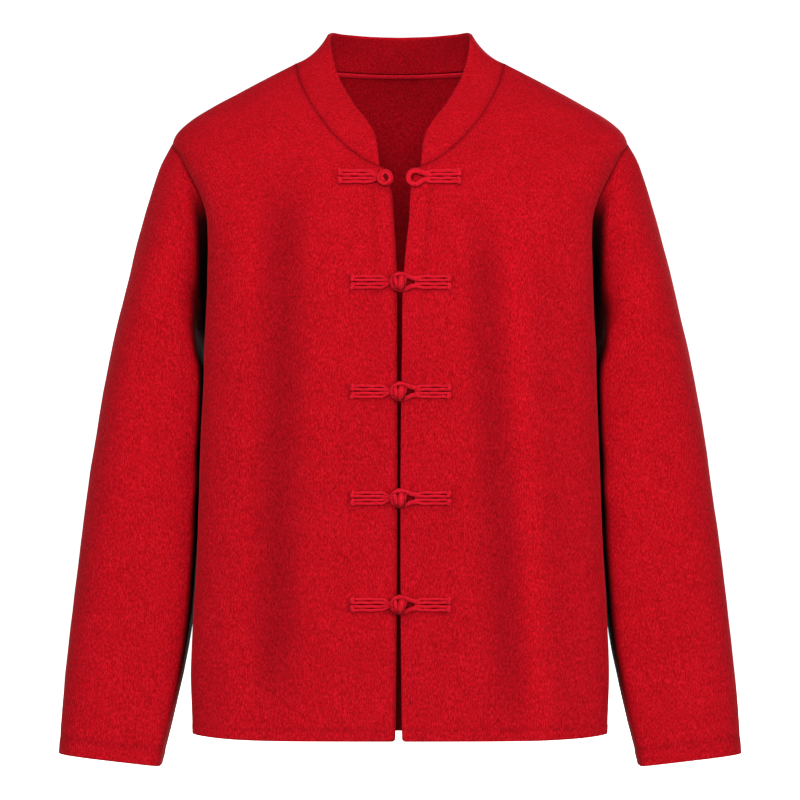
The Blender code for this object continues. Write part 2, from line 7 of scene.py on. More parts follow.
import bpy
import numpy as np
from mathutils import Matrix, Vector


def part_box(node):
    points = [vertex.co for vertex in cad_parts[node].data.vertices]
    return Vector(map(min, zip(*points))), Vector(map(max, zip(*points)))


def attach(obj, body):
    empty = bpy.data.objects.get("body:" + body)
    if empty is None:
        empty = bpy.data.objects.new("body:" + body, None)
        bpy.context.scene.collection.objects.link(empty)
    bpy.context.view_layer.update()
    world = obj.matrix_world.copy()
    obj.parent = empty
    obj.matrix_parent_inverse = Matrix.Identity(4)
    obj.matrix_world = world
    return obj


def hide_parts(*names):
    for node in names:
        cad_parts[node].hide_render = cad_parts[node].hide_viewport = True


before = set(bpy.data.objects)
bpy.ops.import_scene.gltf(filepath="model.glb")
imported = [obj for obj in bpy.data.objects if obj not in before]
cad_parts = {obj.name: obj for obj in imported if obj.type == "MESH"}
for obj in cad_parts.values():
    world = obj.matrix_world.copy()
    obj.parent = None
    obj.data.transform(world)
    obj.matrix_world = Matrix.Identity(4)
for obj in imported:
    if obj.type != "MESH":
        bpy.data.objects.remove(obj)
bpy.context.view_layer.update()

MM = 0.001

# ---- the cut ----------------------------------------------------------------------
HEM_DROP = -1000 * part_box("back")[0][2]
NECK_HALF_WIDTH = 96.0
FRONT_NECK_DROP = 100.0
FRONT_NECK_X = 13.0
NECKLINE_POWER = 1.5
BACK_NECK_DROP = 4.8
SHOULDER_TIP_DROP = 75.0
UNDERARM_DROP = 225.0
ARMHOLE_FRONT_REACH = 40.0
ARMHOLE_FRONT_SKEW = 9.0
ARMHOLE_BACK_REACH = 52.0
COLLAR_SETBACK = 0.085  # the share of the neckline before the collar starts
COLLAR_CORNER = 10.0
FROG_DROPS = (109.0, 205.0, 304.0, 401.0, 498.0)

# ---- the cloth's make ---------------------------------------------------------------
WALL = 2.0
COLLAR_WALL = 3.0
SEAM_DITCH = 0.5  # how deep a seam sits, and how wide its roll is
SEAM_ROLL = 1.4
SEAM_CALM = 12.0  # the cloth's unevenness fades out this near a seam
SEAM_ALLOWANCE = 3.0  # how far the sleeve goes in under the panels
HEM_BAND = 11.0
HEM_LIFT = 5.0  # how far the hem is drawn up at the sides, and over what height
HEM_LIFT_REACH = 70.0
HEM_HALF_WIDTH = 190.0
FRONT_BAND = 18.0
HEM_CORNER = 3.4
EDGE_ROLL = 5.0  # the right front's edge turns back over this much, and by how much
EDGE_FALL = 1.6
CUFF_BAND = 16.0
BAND_STEP = 1.5  # half the width of the step at a turned band
TUCK = 1.5  # how deep the sleeve's front dips beside the armhole, how far from the seam
TUCK_REACH = 6.0
HEAD_RISE = 0.5  # how far the sleeve's head stands up past the seam
# The cloth's unevenness: height and size of its broad and its fine waves.
PANEL_WAVES = ((0.55, 95), (0.2, 34))
SLEEVE_WAVES = ((0.5, 80), (0.2, 30))
COLLAR_WAVES = ((0.35, 60),)
TURNED_EDGE = 0.35  # how much thicker the cloth is where an edge is turned in
STITCH_GROOVE = 0.35  # how deep the groove of a stitched line is, and how wide
GROOVE_WIDTH = 1.1
SEAM_SHADE = 0.55  # painted shade: how much darker the red is painted in a seam and in a stitched groove, where shade falls
STITCH_SHADE = 0.16
STITCH_SHADE_WIDTH = 1.2
EDGE_SHADE = 0.35  # painted shade on the right front's edge where it turns back
BESIDE_SHADE = 0.93  # and painted shade on the sleeve where it folds in beside the body
DEEP_SHADE = 0.42  # painted shade inside the body, growing between these two drops
DEEP_DROPS = (25, 160)
FOLD_SHADE = 0.052  # and painted shade in a trough, for each millimetre of its depth


class Rows:
    """Rows of named sizes, read between the rows on a smooth curve through them."""

    def __init__(self, names, *rows):
        self.columns = dict(zip(names.split(), np.array(rows, float).T, strict=True))
        self.key = self.columns[names.split()[0]]

    def at(self, name, place):
        """Cubic curve through the rows, whose slope at a row is that of its neighbours."""
        values = self.columns[name]
        slopes = np.gradient(values, self.key)
        place = np.clip(place, self.key[0], self.key[-1])
        i = np.clip(np.searchsorted(self.key, place, "right") - 1, 0, len(self.key) - 2)
        span = self.key[i + 1] - self.key[i]
        s = (place - self.key[i]) / span
        return (
            values[i] * (1 + 2 * s) * (1 - s) ** 2
            + slopes[i] * span * s * (1 - s) ** 2
            + values[i + 1] * s**2 * (3 - 2 * s)
            + slopes[i + 1] * span * s**2 * (s - 1)
        )


TORSO = Rows(
    "drop half_width ridge front back front_square back_square",
    (0, 96, 5, -10, 70, 2.5, 2.3),
    (11, 117.5, 4, -23, 77, 2.5, 2.3),
    (25, 144, 4, -36, 84, 2.5, 2.4),
    (39, 169, 3, -48, 90, 2.5, 2.5),
    (53, 192, 2, -58, 94, 2.5, 2.7),
    (67, 207, 0, -67, 97, 2.6, 3.0),
    (75, 210.5, -2, -72, 98, 2.6, 3.2),
    (76, 210.9, -3, -72.6, 98, 2.6, 3.2),
    (88, 205, -15, -80, 100, 2.6, 3.6),
    (102, 196, -31, -88, 102, 2.7, 3.9),
    (119, 186, -46, -94, 104, 2.7, 4.1),
    (140, 178, -56, -100, 105, 2.8, 4.2),
    (165, 176, -59, -106, 105, 2.8, 4.0),
    (200, 176.5, -59, -111, 104, 2.8, 3.4),
    (225, 177, -58, -112, 103, 2.8, 2.8),
    (260, 179, -57, -112, 101, 2.8, 2.6),
    (312, 181, -55, -110, 98, 2.8, 2.5),
    (358, 183, -53, -108, 95, 2.8, 2.5),
    (405, 184.5, -52, -105, 94, 2.8, 2.5),
    (450, 186, -50, -103, 95, 2.8, 2.5),
    (497, 189, -48, -102, 97, 2.8, 2.5),
    (560, 192, -47, -100, 99, 2.8, 2.5),
    (623, 190, -46, -100, 100, 2.8, 2.5),
)

FRONT_EDGE = Rows(
    "drop right left",
    (100, 13, 13),
    (121, 7.4, 9.6),
    (147, 5.4, 8.2),
    (171, 3.8, 5.6),
    (192, 2.8, 3.6),
    (221, 2.4, 2.1),
    (262, 2.5, 1.8),
    (300, 2.3, 1.2),
    (539, 3.1, 0.8),
    (575, 3.5, 1.2),
    (623, 4.1, 1.7),
)

COLLAR_TOP = Rows(
    "station x y z bow",
    (0.0, 22, -69, -68, 1.5),
    (0.25, 31, -61, -54, 1.5),
    (0.5, 43, -46, -38, 1.0),
    (0.75, 58, -21, -10, -1.0),
    (1.0, 66, 2, 21.5, -3.2),
    (1.25, 64.5, 25, 29.5, -2.5),
    (1.5, 52, 41, 29, 0.5),
    (1.75, 28, 50.5, 27.5, 1.5),
    (2.0, 0, 53, 26.8, 1.5),
)

SLEEVE = Rows(
    "ring outer_x outer_drop inner_x inner_drop front back",
    (0, 210.5, 75, 173.4, 225, -46, 52),
    (1, 222, 99, 175.5, 231, -51, 60),
    (2, 233.5, 133, 176, 241, -53, 67),
    (3, 245.5, 176, 175.5, 256, -53, 71),
    (4, 257.5, 226, 177.0, 276, -53, 71),
    (5, 269, 275, 178.6, 303, -52, 69),
    (6, 281, 343, 180.5, 361, -50, 64),
    (7, 292.5, 421, 185.5, 435, -48, 56),
    (8, 303.5, 511, 193.5, 523, -46, 46),
    (9, 310.5, 575, 206, 587, -45, 38),
    (10, 315, 638, 221, 649, -45, 28),
)
SLEEVE_SQUARE = 2.6
INNER_CORNER = 4.6  # how much squarer the sleeve is where it folds in beside the body
CAP_RINGS = 4.0  # how many rings the armhole's own shape is felt for
FIRST_SPAN, LAST_SPAN = 32.0, 62.0  # from the first ring to the next, and to the last
BESIDE_RINGS = (1.0, 2.6)  # where the sleeve's side starts to turn beside the body
CORNER_RINGS = (2.8, 5.2)  # where its squareness grows
VALLEY_DEPTH, UNDERARM_FILL = 8.5, 8.0
TUCK_STARTS, TUCK_ENDS = (52, 84), (140, 172)  # angles between which the tuck comes and goes
SHADE_REACH, SHADE_MORE = 3.5, 11.0  # how far the painted shade beside the body reaches
SHADE_DROPS = (112, 150)  # where it begins, below the shoulder

# Soft folds of the body: x where each begins and at the hem, the drops where it begins and
# fades, its half width, and its depth (a ridge if below zero). The front's have y < 0.
FRONT_FOLDS = Rows(
    "top foot start end spread depth",
    (-103, -116, 110, 590, 14, 5.0),
    (-146, -152, 130, 640, 13, -2.4),
    (-124, -134, 110, 600, 20, 1.6),
    (-66, -70, 120, 560, 12, -1.8),
    (74, 104, 150, 610, 12, 5.4),
    (102, 130, 150, 640, 12, -2.4),
    (130, 152, 190, 640, 12, 1.8),
)
FOLD_CLEAR = (47, 68)  # how far from the middle they begin, beyond the frogs
FADE_BEFORE, FADE_INTO = 40, 60  # how far a fold's end fades, outside it and inside
BACK_FOLDS = Rows(
    "top foot start end spread depth",
    (-118, -138, 210, 620, 20, 3.4),
    (-62, -52, 330, 640, 22, 2.0),
    (48, 66, 300, 640, 24, 2.2),
    (122, 134, 190, 640, 19, 3.0),
)


def unit(v):
    return v / np.maximum(np.linalg.norm(v, axis=-1, keepdims=True), 1e-12)


def smooth_step(x, low, high):
    """0 below low, 1 above high, and an S-shaped curve between."""
    s = np.clip((x - low) / (high - low), 0, 1)
    return s * s * (3 - 2 * s)


def fold_depth(folds, x, drop):
    """A bell across each fold's drifting line, fading at both ends."""
    total = 0.0
    for top, foot, start, end, spread, depth in zip(*folds.columns.values(), strict=True):
        line = top + (foot - top) * (drop - start) / (HEM_DROP - start)
        along = smooth_step(drop, start - FADE_BEFORE, start + FADE_INTO)
        along = along * (1 - smooth_step(drop, end - FADE_INTO, end + FADE_BEFORE))
        total = total + depth * along * np.exp(-0.5 * ((x - line) / spread) ** 2)
    return total


def swelling(s, c, square):
    """How far an ellipse is swollen towards its box in the direction s, c."""
    return (np.abs(s) ** square + np.abs(c) ** square) ** (-1 / square)


def half_outline(ahead, drop):
    """The squareness and the depth of the front or the back at a drop."""
    ridge = TORSO.at("ridge", drop)
    square = np.where(ahead, TORSO.at("front_square", drop), TORSO.at("back_square", drop))
    depth = np.where(ahead, ridge - TORSO.at("front", drop), TORSO.at("back", drop) - ridge)
    return square, depth


def torso(turn, drop):
    """A point of the cloth: an ellipse swollen towards its box, with its own depth and
    squareness in front and behind, the soft folds pushed in, and the hem drawn up a
    little at the sides."""
    turn, drop = np.broadcast_arrays(np.radians(turn), np.asarray(drop, float))
    s, c = np.sin(turn), np.cos(turn)
    square, depth = half_outline(c > 0, drop)
    swell = swelling(s, c, square)
    x = TORSO.at("half_width", drop) * s * swell
    y = TORSO.at("ridge", drop) - depth * c * swell
    front = fold_depth(FRONT_FOLDS, x, drop) * smooth_step(np.abs(x), *FOLD_CLEAR)
    y = y + front * smooth_step(c * swell, 0, 0.5)
    y = y - fold_depth(BACK_FOLDS, x, drop) * smooth_step(-c * swell, 0.2, 0.7)
    near_hem = smooth_step(drop, HEM_DROP - HEM_LIFT_REACH, HEM_DROP)
    lift = HEM_LIFT * (x / HEM_HALF_WIDTH) ** 6 * near_hem
    return np.stack([x, y, lift - drop], -1)


def turn_at_x(x, drop):
    """The turn at which the front half passes a given x: the outline's formula undone."""
    square = TORSO.at("front_square", drop)
    share = np.clip(np.abs(x) / TORSO.at("half_width", drop), 1e-9, 1)
    return np.sign(x) * np.degrees(np.arctan2(1, (share**-square - 1) ** (1 / square)))


def turn_at_y(y, drop):
    """The turn, up to 180 degrees, at which the outline passes a given depth."""
    ridge = TORSO.at("ridge", drop)
    ahead = y < ridge
    square, depth = half_outline(ahead, drop)
    share = np.clip(np.abs(y - ridge) / depth, 1e-9, 1)
    away = np.degrees(np.arctan2((share**-square - 1) ** (1 / square), 1))
    return np.where(ahead, away, 180 - away)


def front_point(x, drop):
    """The point of the front at a given x, and the outward direction there, from two
    small steps across and down."""
    place = torso(turn_at_x(x, drop), drop)
    across = torso(turn_at_x(x + 0.5, drop), drop) - torso(turn_at_x(x - 0.5, drop), drop)
    down = torso(turn_at_x(x, drop + 0.5), drop + 0.5) - torso(turn_at_x(x, drop - 0.5), drop - 0.5)
    return place, unit(np.cross(down, across))


# ---- seam lines -------------------------------------------------------------------
EDGE_STEPS = np.array([0, 0.1, 0.35, 0.8, 1.4, 2.2, 3.3, 5, 7.5])
EVEN_FROM = 10.5  # where the even steps take over from these


def graded(start, end, count):
    """From start to end, with fine steps next to the start and even ones after them."""
    sign = np.sign(end - start)
    rest = np.linspace(start + sign * EVEN_FROM, end, count)
    return np.concatenate([start + sign * EDGE_STEPS, rest])


def armhole(angle, back):
    """The armhole at an angle down from the shoulder tip: its height follows a cosine,
    and its reach forward or back a sine, fuller above the middle in front."""
    a = np.radians(angle)
    middle = (UNDERARM_DROP + SHOULDER_TIP_DROP) / 2
    drop = middle - (UNDERARM_DROP - SHOULDER_TIP_DROP) / 2 * np.cos(a)
    start = TORSO.at("ridge", SHOULDER_TIP_DROP) * (1 + np.cos(a)) / 2
    front = start - ARMHOLE_FRONT_REACH * np.sin(a) - ARMHOLE_FRONT_SKEW * np.sin(2 * a)
    y = start + ARMHOLE_BACK_REACH * np.sin(a) if back else front
    turn = np.where(angle < 0.01, 90.0, turn_at_y(y, drop))
    return np.stack([turn, drop], -1)


def front_neckline(share):
    """From the front edge (0) to the shoulder (1): a superellipse quarter."""
    a = np.radians(90 * (1 - share))
    reach = NECK_HALF_WIDTH - FRONT_NECK_X
    x = FRONT_NECK_X + reach * np.clip(np.cos(a), 0, 1) ** (2 / NECKLINE_POWER)
    drop = FRONT_NECK_DROP * np.clip(np.sin(a), 0, 1) ** (2 / NECKLINE_POWER)
    return np.stack([turn_at_x(x, drop), drop], -1)


def back_neck_drop(turn):
    """How low the back neck seam lies: a cosine to the fourth, so it dips at the middle."""
    return BACK_NECK_DROP * np.cos(np.radians(turn)) ** 4


def back_neckline(share):
    """From the centre back (0) to the shoulder (1), rising a little."""
    turn = 180 - 90 * share
    return np.stack([turn, back_neck_drop(turn)], -1)


# ---- fields on a grid -------------------------------------------------------------
def grid_normals(grid, closed=False):
    """Outward directions on a grid, from the steps between its points."""
    if closed:
        wide = np.concatenate([grid[:, -1:], grid, grid[:, :1]], 1)
        across = wide[:, 2:] - wide[:, :-2]
    else:
        across = np.gradient(grid, axis=1)
    return unit(np.cross(across, np.gradient(grid, axis=0)))


def distance_to(points, line):
    """How far each point is from a polyline, by its nearest segment."""
    start, step = line[:-1], np.diff(line, axis=0)
    nearest = np.full(points.shape[:-1], 1e9)
    for a, b in zip(start, step, strict=True):
        share = np.clip(((points - a) @ b) / max(b @ b, 1e-12), 0, 1)
        nearest = np.minimum(nearest, np.linalg.norm(points - a - share[..., None] * b, axis=-1))
    return nearest


def sparse(line, count=60):
    """About count points of a line, its two ends among them."""
    return line[np.unique(np.linspace(0, len(line) - 1, count).round().astype(int))]


def bell(distance, width):
    return np.exp(-((distance / width) ** 2))


def ripple(points, size, seed):
    """A soft unevenness between -1 and 1, the sum of eight plane waves of about a size."""
    random = np.random.default_rng(seed)
    heading = unit(random.normal(size=(8, 3)))
    length = size * random.uniform(0.7, 1.6, 8)
    phase = random.uniform(0, 2 * np.pi, 8)
    return np.sin(points @ (heading * (2 * np.pi / length[:, None])).T + phase).mean(-1) * 1.4


def waves(points, sizes, *seeds):
    """The sum of a ripple for each height and size."""
    pairs = zip(sizes, seeds, strict=True)
    return sum(height * ripple(points, size, seed) for (height, size), seed in pairs)


def seam_share(seam):
    """How much of a seam's ditch and painted shade is left at a distance from it."""
    return np.exp(-seam / SEAM_ROLL)


def turned_band(distance, band):
    """The relief and the painted shade of a turned edge: thicker as far as a stitched groove, which
    is painted darker.
    """
    thick = TURNED_EDGE * (1 - smooth_step(distance, band - BAND_STEP, band + BAND_STEP))
    groove = STITCH_GROOVE * bell(distance - band, GROOVE_WIDTH)
    return thick - groove, STITCH_SHADE * bell(distance - band, STITCH_SHADE_WIDTH)


def edge_round(distance, wall):
    """How far a skin falls back at a free edge, along a half circle of the wall."""
    radius = wall / 2
    inside = np.clip(1 - distance / radius, 0, 1)
    return radius * (1 - np.sqrt(1 - inside**2))


# ---- meshes -----------------------------------------------------------------------
def add_piece(name, points, faces, material, nodes, shade=None):
    """A piece in the row's frame, which stands for its CAD nodes and rides with them.
    Shade is a painted shade, from 0 to 1, that darkens the colour where shade falls: in a seam, a
    stitched groove, a trough, beside the body, inside the body, or down a cord's flanks."""
    mesh = bpy.data.meshes.new(name)
    mesh.from_pydata(np.asarray(points) * MM, [], faces)
    # The painted shade goes on each point, for the material to darken the colour by.
    depth = mesh.attributes.new("painted_shade", "FLOAT", "POINT")
    depth.data.foreach_set("value", np.zeros(len(points)) if shade is None else shade)
    mesh.polygons.foreach_set("use_smooth", np.ones(len(mesh.polygons), bool))
    mesh.materials.append(material)
    mesh.update()
    piece = bpy.data.objects.new(name, mesh)
    bpy.context.scene.collection.objects.link(piece)
    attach(piece, "root")
    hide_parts(*nodes)
    return piece


def numbered(grid):
    """The points' numbers, laid out as the grid is."""
    return np.arange(grid[..., 0].size).reshape(grid.shape[:2])


def quads_of(index):
    """The faces of a grid of point numbers."""
    corners = [index[:-1, :-1], index[:-1, 1:], index[1:, 1:], index[1:, :-1]]
    return np.stack(corners, -1).reshape(-1, 4)


def shell_faces(index, count):
    """The faces of a wall between two skins of count points each: the outer skin's quads,
    the inner skin's turned round, and a rim along each edge that one quad only has."""
    quads = np.concatenate([quads_of(grid) for grid in index])
    edges = np.stack([quads, np.roll(quads, -1, 1)], -1).reshape(-1, 2)
    key, back_key = edges @ [count, 1], edges[:, ::-1] @ [count, 1]
    rim = edges[~np.isin(key, back_key)]
    return np.concatenate([quads, quads[:, ::-1] + count, np.hstack([rim[:, ::-1], rim + count])])


def panel_shell(name, outer, inner, index, material, nodes, shade, deep=0):
    """A wall of cloth from two skins, the outer one with its painted shade. The inner one gets
    a painted shade that grows by the given amount on its way down from the neck point."""
    faces = shell_faces(index, outer.reshape(-1, 3).shape[0])
    used, faces = np.unique(faces, return_inverse=True)
    points = np.concatenate([outer.reshape(-1, 3), inner.reshape(-1, 3)])[used]
    # Painted shade inside the body, darker further down.
    below = deep * smooth_step(-inner[..., 2].ravel(), *DEEP_DROPS)
    depth = np.concatenate([shade.ravel(), below])[used]
    return add_piece(name, points, faces.reshape(-1, 4), material, nodes, depth)


# ---- materials --------------------------------------------------------------------
def linear(hex_colour):
    """An sRGB hex colour as linear light."""
    c = np.array([int(hex_colour[i : i + 2], 16) / 255 for i in (1, 3, 5)])
    return (*np.where(c <= 0.04045, c / 12.92, ((c + 0.055) / 1.055) ** 2.4), 1.0)


def add_node(tree, kind, settings, links):
    """One shader node with its settings, its socket values and its incoming links."""
    node = tree.nodes.new(kind)
    for name, value in settings.items():
        if isinstance(name, str) and hasattr(node, name):
            setattr(node, name, value)
        else:
            node.inputs[name].default_value = value
    for socket, source in links.items():
        tree.links.new(source, node.inputs[socket])
    return node


def add_maths(tree, operation, values, links):
    """The outcome of one sum or product of sockets."""
    settings = {"operation": operation, **values}
    return add_node(tree, "ShaderNodeMath", settings, links).outputs[0]


def ramp_colours(node, stops):
    """Puts hex colours on a colour ramp at their places."""
    elements = node.color_ramp.elements
    while len(elements) < len(stops):
        elements.new(0.5)
    for element, (place, colour) in zip(elements, stops, strict=True):
        element.position = place
        element.color = linear(colour)


CLOUD_SHARE = 0.07
NOOK_SHADE = {"samples": 8, "Distance": 0.028}  # metres; how enclosed a point is, for a painted shade that darkens the colour in nooks
NOOK_SHADE_RANGE = {"From Min": 0.13, "From Max": 0.52}  # from the darkest painted shade to open


def felted_wool(name, shades, nap=900, bump=0.4, sheen=0.22, grain=0.4):
    """Felted wool, fulled and lightly brushed: matt, with a fine nap that mottles the red
    in short upright streaks, faint clouds 30 mm across and a soft bloom where the surface
    turns away. Its colour is darkened by painted shade: the shade stored on the points, and more in
    nooks, found by ambient occlusion. Nap is tufts per metre."""
    material = bpy.data.materials.new(name)
    material.use_nodes = True
    tree = material.node_tree
    shader = tree.nodes["Principled BSDF"]
    place = add_node(tree, "ShaderNodeTexCoord", {}, {}).outputs["Object"]
    upright = add_node(tree, "ShaderNodeMapping", {"Scale": (1, 1, grain)}, {"Vector": place})
    tufts = add_node(
        tree,
        "ShaderNodeTexNoise",
        {"Scale": nap, "Detail": 5.0, "Roughness": 0.7},
        {"Vector": upright.outputs["Vector"]},
    )
    clouds = add_node(
        tree, "ShaderNodeTexNoise", {"Scale": 32.0, "Detail": 2.0}, {"Vector": place}
    )
    both = {0: clouds.outputs["Fac"], 2: tufts.outputs["Fac"]}
    mixed = add_maths(tree, "MULTIPLY_ADD", {1: CLOUD_SHARE}, both)
    ramp = add_node(tree, "ShaderNodeValToRGB", {}, {"Fac": mixed})
    ramp_colours(ramp, shades)
    # Painted shade in nooks: ambient occlusion darkens the colour where the cloth is enclosed.
    nook_shade = add_node(tree, "ShaderNodeAmbientOcclusion", NOOK_SHADE, {})
    open_air = add_node(tree, "ShaderNodeMapRange", NOOK_SHADE_RANGE, {"Value": nook_shade.outputs["AO"]})
    # Painted shade: the colour is scaled down by the points' painted shade and by the painted shade
    # in nooks.
    depth = add_node(tree, "ShaderNodeAttribute", {"attribute_name": "painted_shade"}, {})
    light = add_maths(tree, "SUBTRACT", {0: 1.0}, {1: depth.outputs["Fac"]})
    share = add_maths(tree, "MULTIPLY", {}, {0: light, 1: open_air.outputs["Result"]})
    shaded = add_node(
        tree,
        "ShaderNodeVectorMath",
        {"operation": "SCALE"},
        {0: ramp.outputs["Color"], 3: share},
    )
    tree.links.new(shaded.outputs["Vector"], shader.inputs["Base Color"])
    lumps = add_node(
        tree,
        "ShaderNodeBump",
        {"Strength": bump, "Distance": 0.0008},
        {"Height": tufts.outputs["Fac"]},
    )
    tree.links.new(lumps.outputs["Normal"], shader.inputs["Normal"])
    shader.inputs["Roughness"].default_value = 0.95
    shader.inputs["Specular IOR Level"].default_value = 0.05
    # The sheen fades with the painted shade too, so painted-dark places stay dark.
    bloom = add_maths(tree, "MULTIPLY", {1: sheen}, {0: share})
    tree.links.new(bloom, shader.inputs["Sheen Weight"])
    shader.inputs["Sheen Roughness"].default_value = 0.4
    shader.inputs["Sheen Tint"].default_value = linear("#FF4A58")
    return material


WOOL_SHADES = ((0.36, "#8E030C"), (0.53, "#BE0818"), (0.70, "#E41629"))
# The cords' and the neck tape's reds are brighter than the cloth's: partly their own colour, partly
# painted light that makes these raised pieces look lit.
CORD_SHADES = ((0.34, "#B20716"), (0.53, "#DE1227"), (0.72, "#FA2A40"))


# ---- panels -----------------------------------------------------------------------
SIDE_STEPS, CHEST_STEPS, YOKE_STEPS, ACROSS_STEPS = 95, 34, 48, 64
PANEL_WIDTH = 250.0  # of a half panel, to scale the fine steps beside its edges


def edge_chart(top_drop):
    """Drops down a panel's inner edge: hem, underarm level, top."""
    side = graded(HEM_DROP, UNDERARM_DROP, SIDE_STEPS)
    return np.concatenate([side, np.linspace(UNDERARM_DROP, top_drop, CHEST_STEPS + 1)[1:-1]])


def ruled(inner_line, outer_line):
    """A half panel's chart between two lines, with fine steps beside both of them."""
    fine, margin = EDGE_STEPS / PANEL_WIDTH, EVEN_FROM / PANEL_WIDTH
    even = np.linspace(margin, 1 - margin, ACROSS_STEPS)
    share = np.concatenate([fine, even, 1 - fine[::-1]])[:, None]
    return inner_line[:, None] * (1 - share) + outer_line[:, None] * share


def outer_line(split_angle, back):
    """The side seam, then the armhole in two stretches that match the inner edge's."""
    drop = graded(HEM_DROP, UNDERARM_DROP, SIDE_STEPS)
    side = np.stack([turn_at_y(0.0, drop), drop], -1)
    low = armhole(np.linspace(180, split_angle, CHEST_STEPS + 1)[1:-1], back)
    high = armhole(np.linspace(split_angle, 0, YOKE_STEPS + 1), back)
    return np.concatenate([side, low, high])


# The armhole's angle that lies across from the front neck's or the back neck's low point.
FRONT_SPLIT, BACK_SPLIT = 108.0, 98.0


def front_chart(side, sign):
    drop = edge_chart(FRONT_NECK_DROP)
    near = np.clip(1 - (HEM_DROP - drop) / HEM_CORNER, 0, 1)
    x = FRONT_EDGE.at(side, drop) + HEM_CORNER * (1 - np.sqrt(1 - near**2))
    edge = np.stack([turn_at_x(x, drop), drop], -1)
    inner = np.concatenate([edge, front_neckline(np.linspace(0, 1, YOKE_STEPS + 1))])
    return ruled(inner, outer_line(FRONT_SPLIT, False)) * [sign, 1]


def back_chart():
    drop = edge_chart(BACK_NECK_DROP)
    centre = np.stack([np.full_like(drop, 180.0), drop], -1)
    inner = np.concatenate([centre, back_neckline(np.linspace(0, 1, YOKE_STEPS + 1))])
    return ruled(inner, outer_line(BACK_SPLIT, True))


def panel_relief(skin, folds, seams, edge, seed):
    """What the cloth's make adds to a panel's form: seams rolled down into ditches, a turned
    hem and front edge with a stitched groove, and a soft unevenness; and the painted shade
    in its seams, grooves and troughs."""
    seam = np.min([distance_to(skin, sparse(line)) for line in seams], axis=0)
    relief = waves(skin, PANEL_WAVES, seed, seed + 1)
    relief = relief * smooth_step(seam, 0, SEAM_CALM) - SEAM_DITCH * seam_share(seam)
    # Painted shade in the folds' troughs, darker the deeper they are.
    trough = FOLD_SHADE * fold_depth(folds, skin[..., 0], -skin[..., 2])
    if folds is FRONT_FOLDS:
        trough = trough * smooth_step(np.abs(skin[..., 0]), *FOLD_CLEAR)
    # Painted shade in the seams' ditches and, below, in the stitched grooves.
    shade = SEAM_SHADE * seam_share(seam)
    bands = [(distance_to(skin, sparse(skin[0])), HEM_BAND)]
    if edge is not None:
        bands.append((distance_to(skin, sparse(edge)), FRONT_BAND))
    for distance, band in bands:
        raised, stitched = turned_band(distance, band)
        relief, shade = relief + raised, np.maximum(shade, stitched)
    return relief, shade + trough, [distance for distance, _ in bands]


def skins_of(skin, normal, relief, free):
    """The outer and inner skins, which meet in a half round at the free edges."""
    fall = sum(edge_round(distance, WALL) for distance in free)
    fall = np.minimum(fall, WALL / 2)
    outer = skin + normal * (relief - fall)[..., None]
    inner = skin - normal * (WALL - relief * 0.5 - fall)[..., None]
    return outer, inner


def half_seams(skin, neck):
    """The neck, side, armhole and shoulder seams of half a panel, as lines of its skin."""
    arm = len(graded(HEM_DROP, UNDERARM_DROP, SIDE_STEPS)) - 1
    return [skin[neck:, 0], skin[: arm + 1, -1], skin[arm:, -1], skin[-1]]


def make_front(side, sign, material):
    chart = front_chart(side, sign)
    neck = len(edge_chart(FRONT_NECK_DROP))
    skin = torso(chart[..., 0], chart[..., 1])
    normal = grid_normals(skin) * sign
    seams, edge = half_seams(skin, neck), skin[: neck + 1, 0]
    relief, shade, free = panel_relief(skin, FRONT_FOLDS, seams, edge, 11 + sign)
    if sign < 0:
        # Painted shade on the right front's edge where it turns back.
        roll = 1 - smooth_step(free[1], 0, EDGE_ROLL)
        relief, shade = relief - EDGE_FALL * roll**2, np.maximum(shade, EDGE_SHADE * roll)
    outer, inner = skins_of(skin, normal, relief, free)
    index = numbered(skin) if sign > 0 else numbered(skin)[:, ::-1]
    name = "front_" + side
    return panel_shell(name + "_wool", outer, inner, [index], material, [name], shade, DEEP_SHADE)


def make_back(material):
    chart = back_chart()
    neck = len(edge_chart(BACK_NECK_DROP))
    right = torso(chart[..., 0], chart[..., 1])
    left = torso(360 - chart[..., 0], chart[..., 1])
    skins = []
    for skin, sign in ((right, -1), (left, 1)):
        normal = grid_normals(skin) * sign
        seams = half_seams(skin, neck)
        relief, shade, free = panel_relief(skin, BACK_FOLDS, seams, None, 21)
        skins.append(skins_of(skin, normal, relief, free))
    for a, b in zip(*skins, strict=True):
        middle = (a[: neck + 1, 0] + b[: neck + 1, 0]) / 2
        a[: neck + 1, 0] = middle
        b[: neck + 1, 0] = middle
    outer, inner = (np.stack(pair) for pair in zip(*skins, strict=True))
    half = numbered(right)
    twin = half + half.size
    twin[: neck + 1, 0] = half[: neck + 1, 0]
    index = [half[:, ::-1], twin]
    shade = np.stack([shade, shade])
    return panel_shell("back_wool", outer, inner, index, material, ["back"], shade, DEEP_SHADE)


# ---- sleeves ----------------------------------------------------------------------
def sleeve_section(ring, angle):
    """An ellipse laid between the ring's outer and inner points, with the ring's depths;
    its front half is swollen towards its box, most of all beside the body."""
    s, c = np.sin(np.radians(angle)), np.cos(np.radians(angle))
    corner = INNER_CORNER * smooth_step(ring, *CORNER_RINGS)
    square = np.where(s > 0, SLEEVE_SQUARE + corner * (c < 0), 2)
    swell = swelling(s, c, square)
    side = (1 + c * swell) / 2
    x = SLEEVE.at("inner_x", ring) * (1 - side) + SLEEVE.at("outer_x", ring) * side
    drop = SLEEVE.at("inner_drop", ring) * (1 - side) + SLEEVE.at("outer_drop", ring) * side
    front, back = SLEEVE.at("front", ring), SLEEVE.at("back", ring)
    y = (front + back) / 2 + (front - back) / 2 * s * swell
    return np.stack([x, y, -drop], -1)


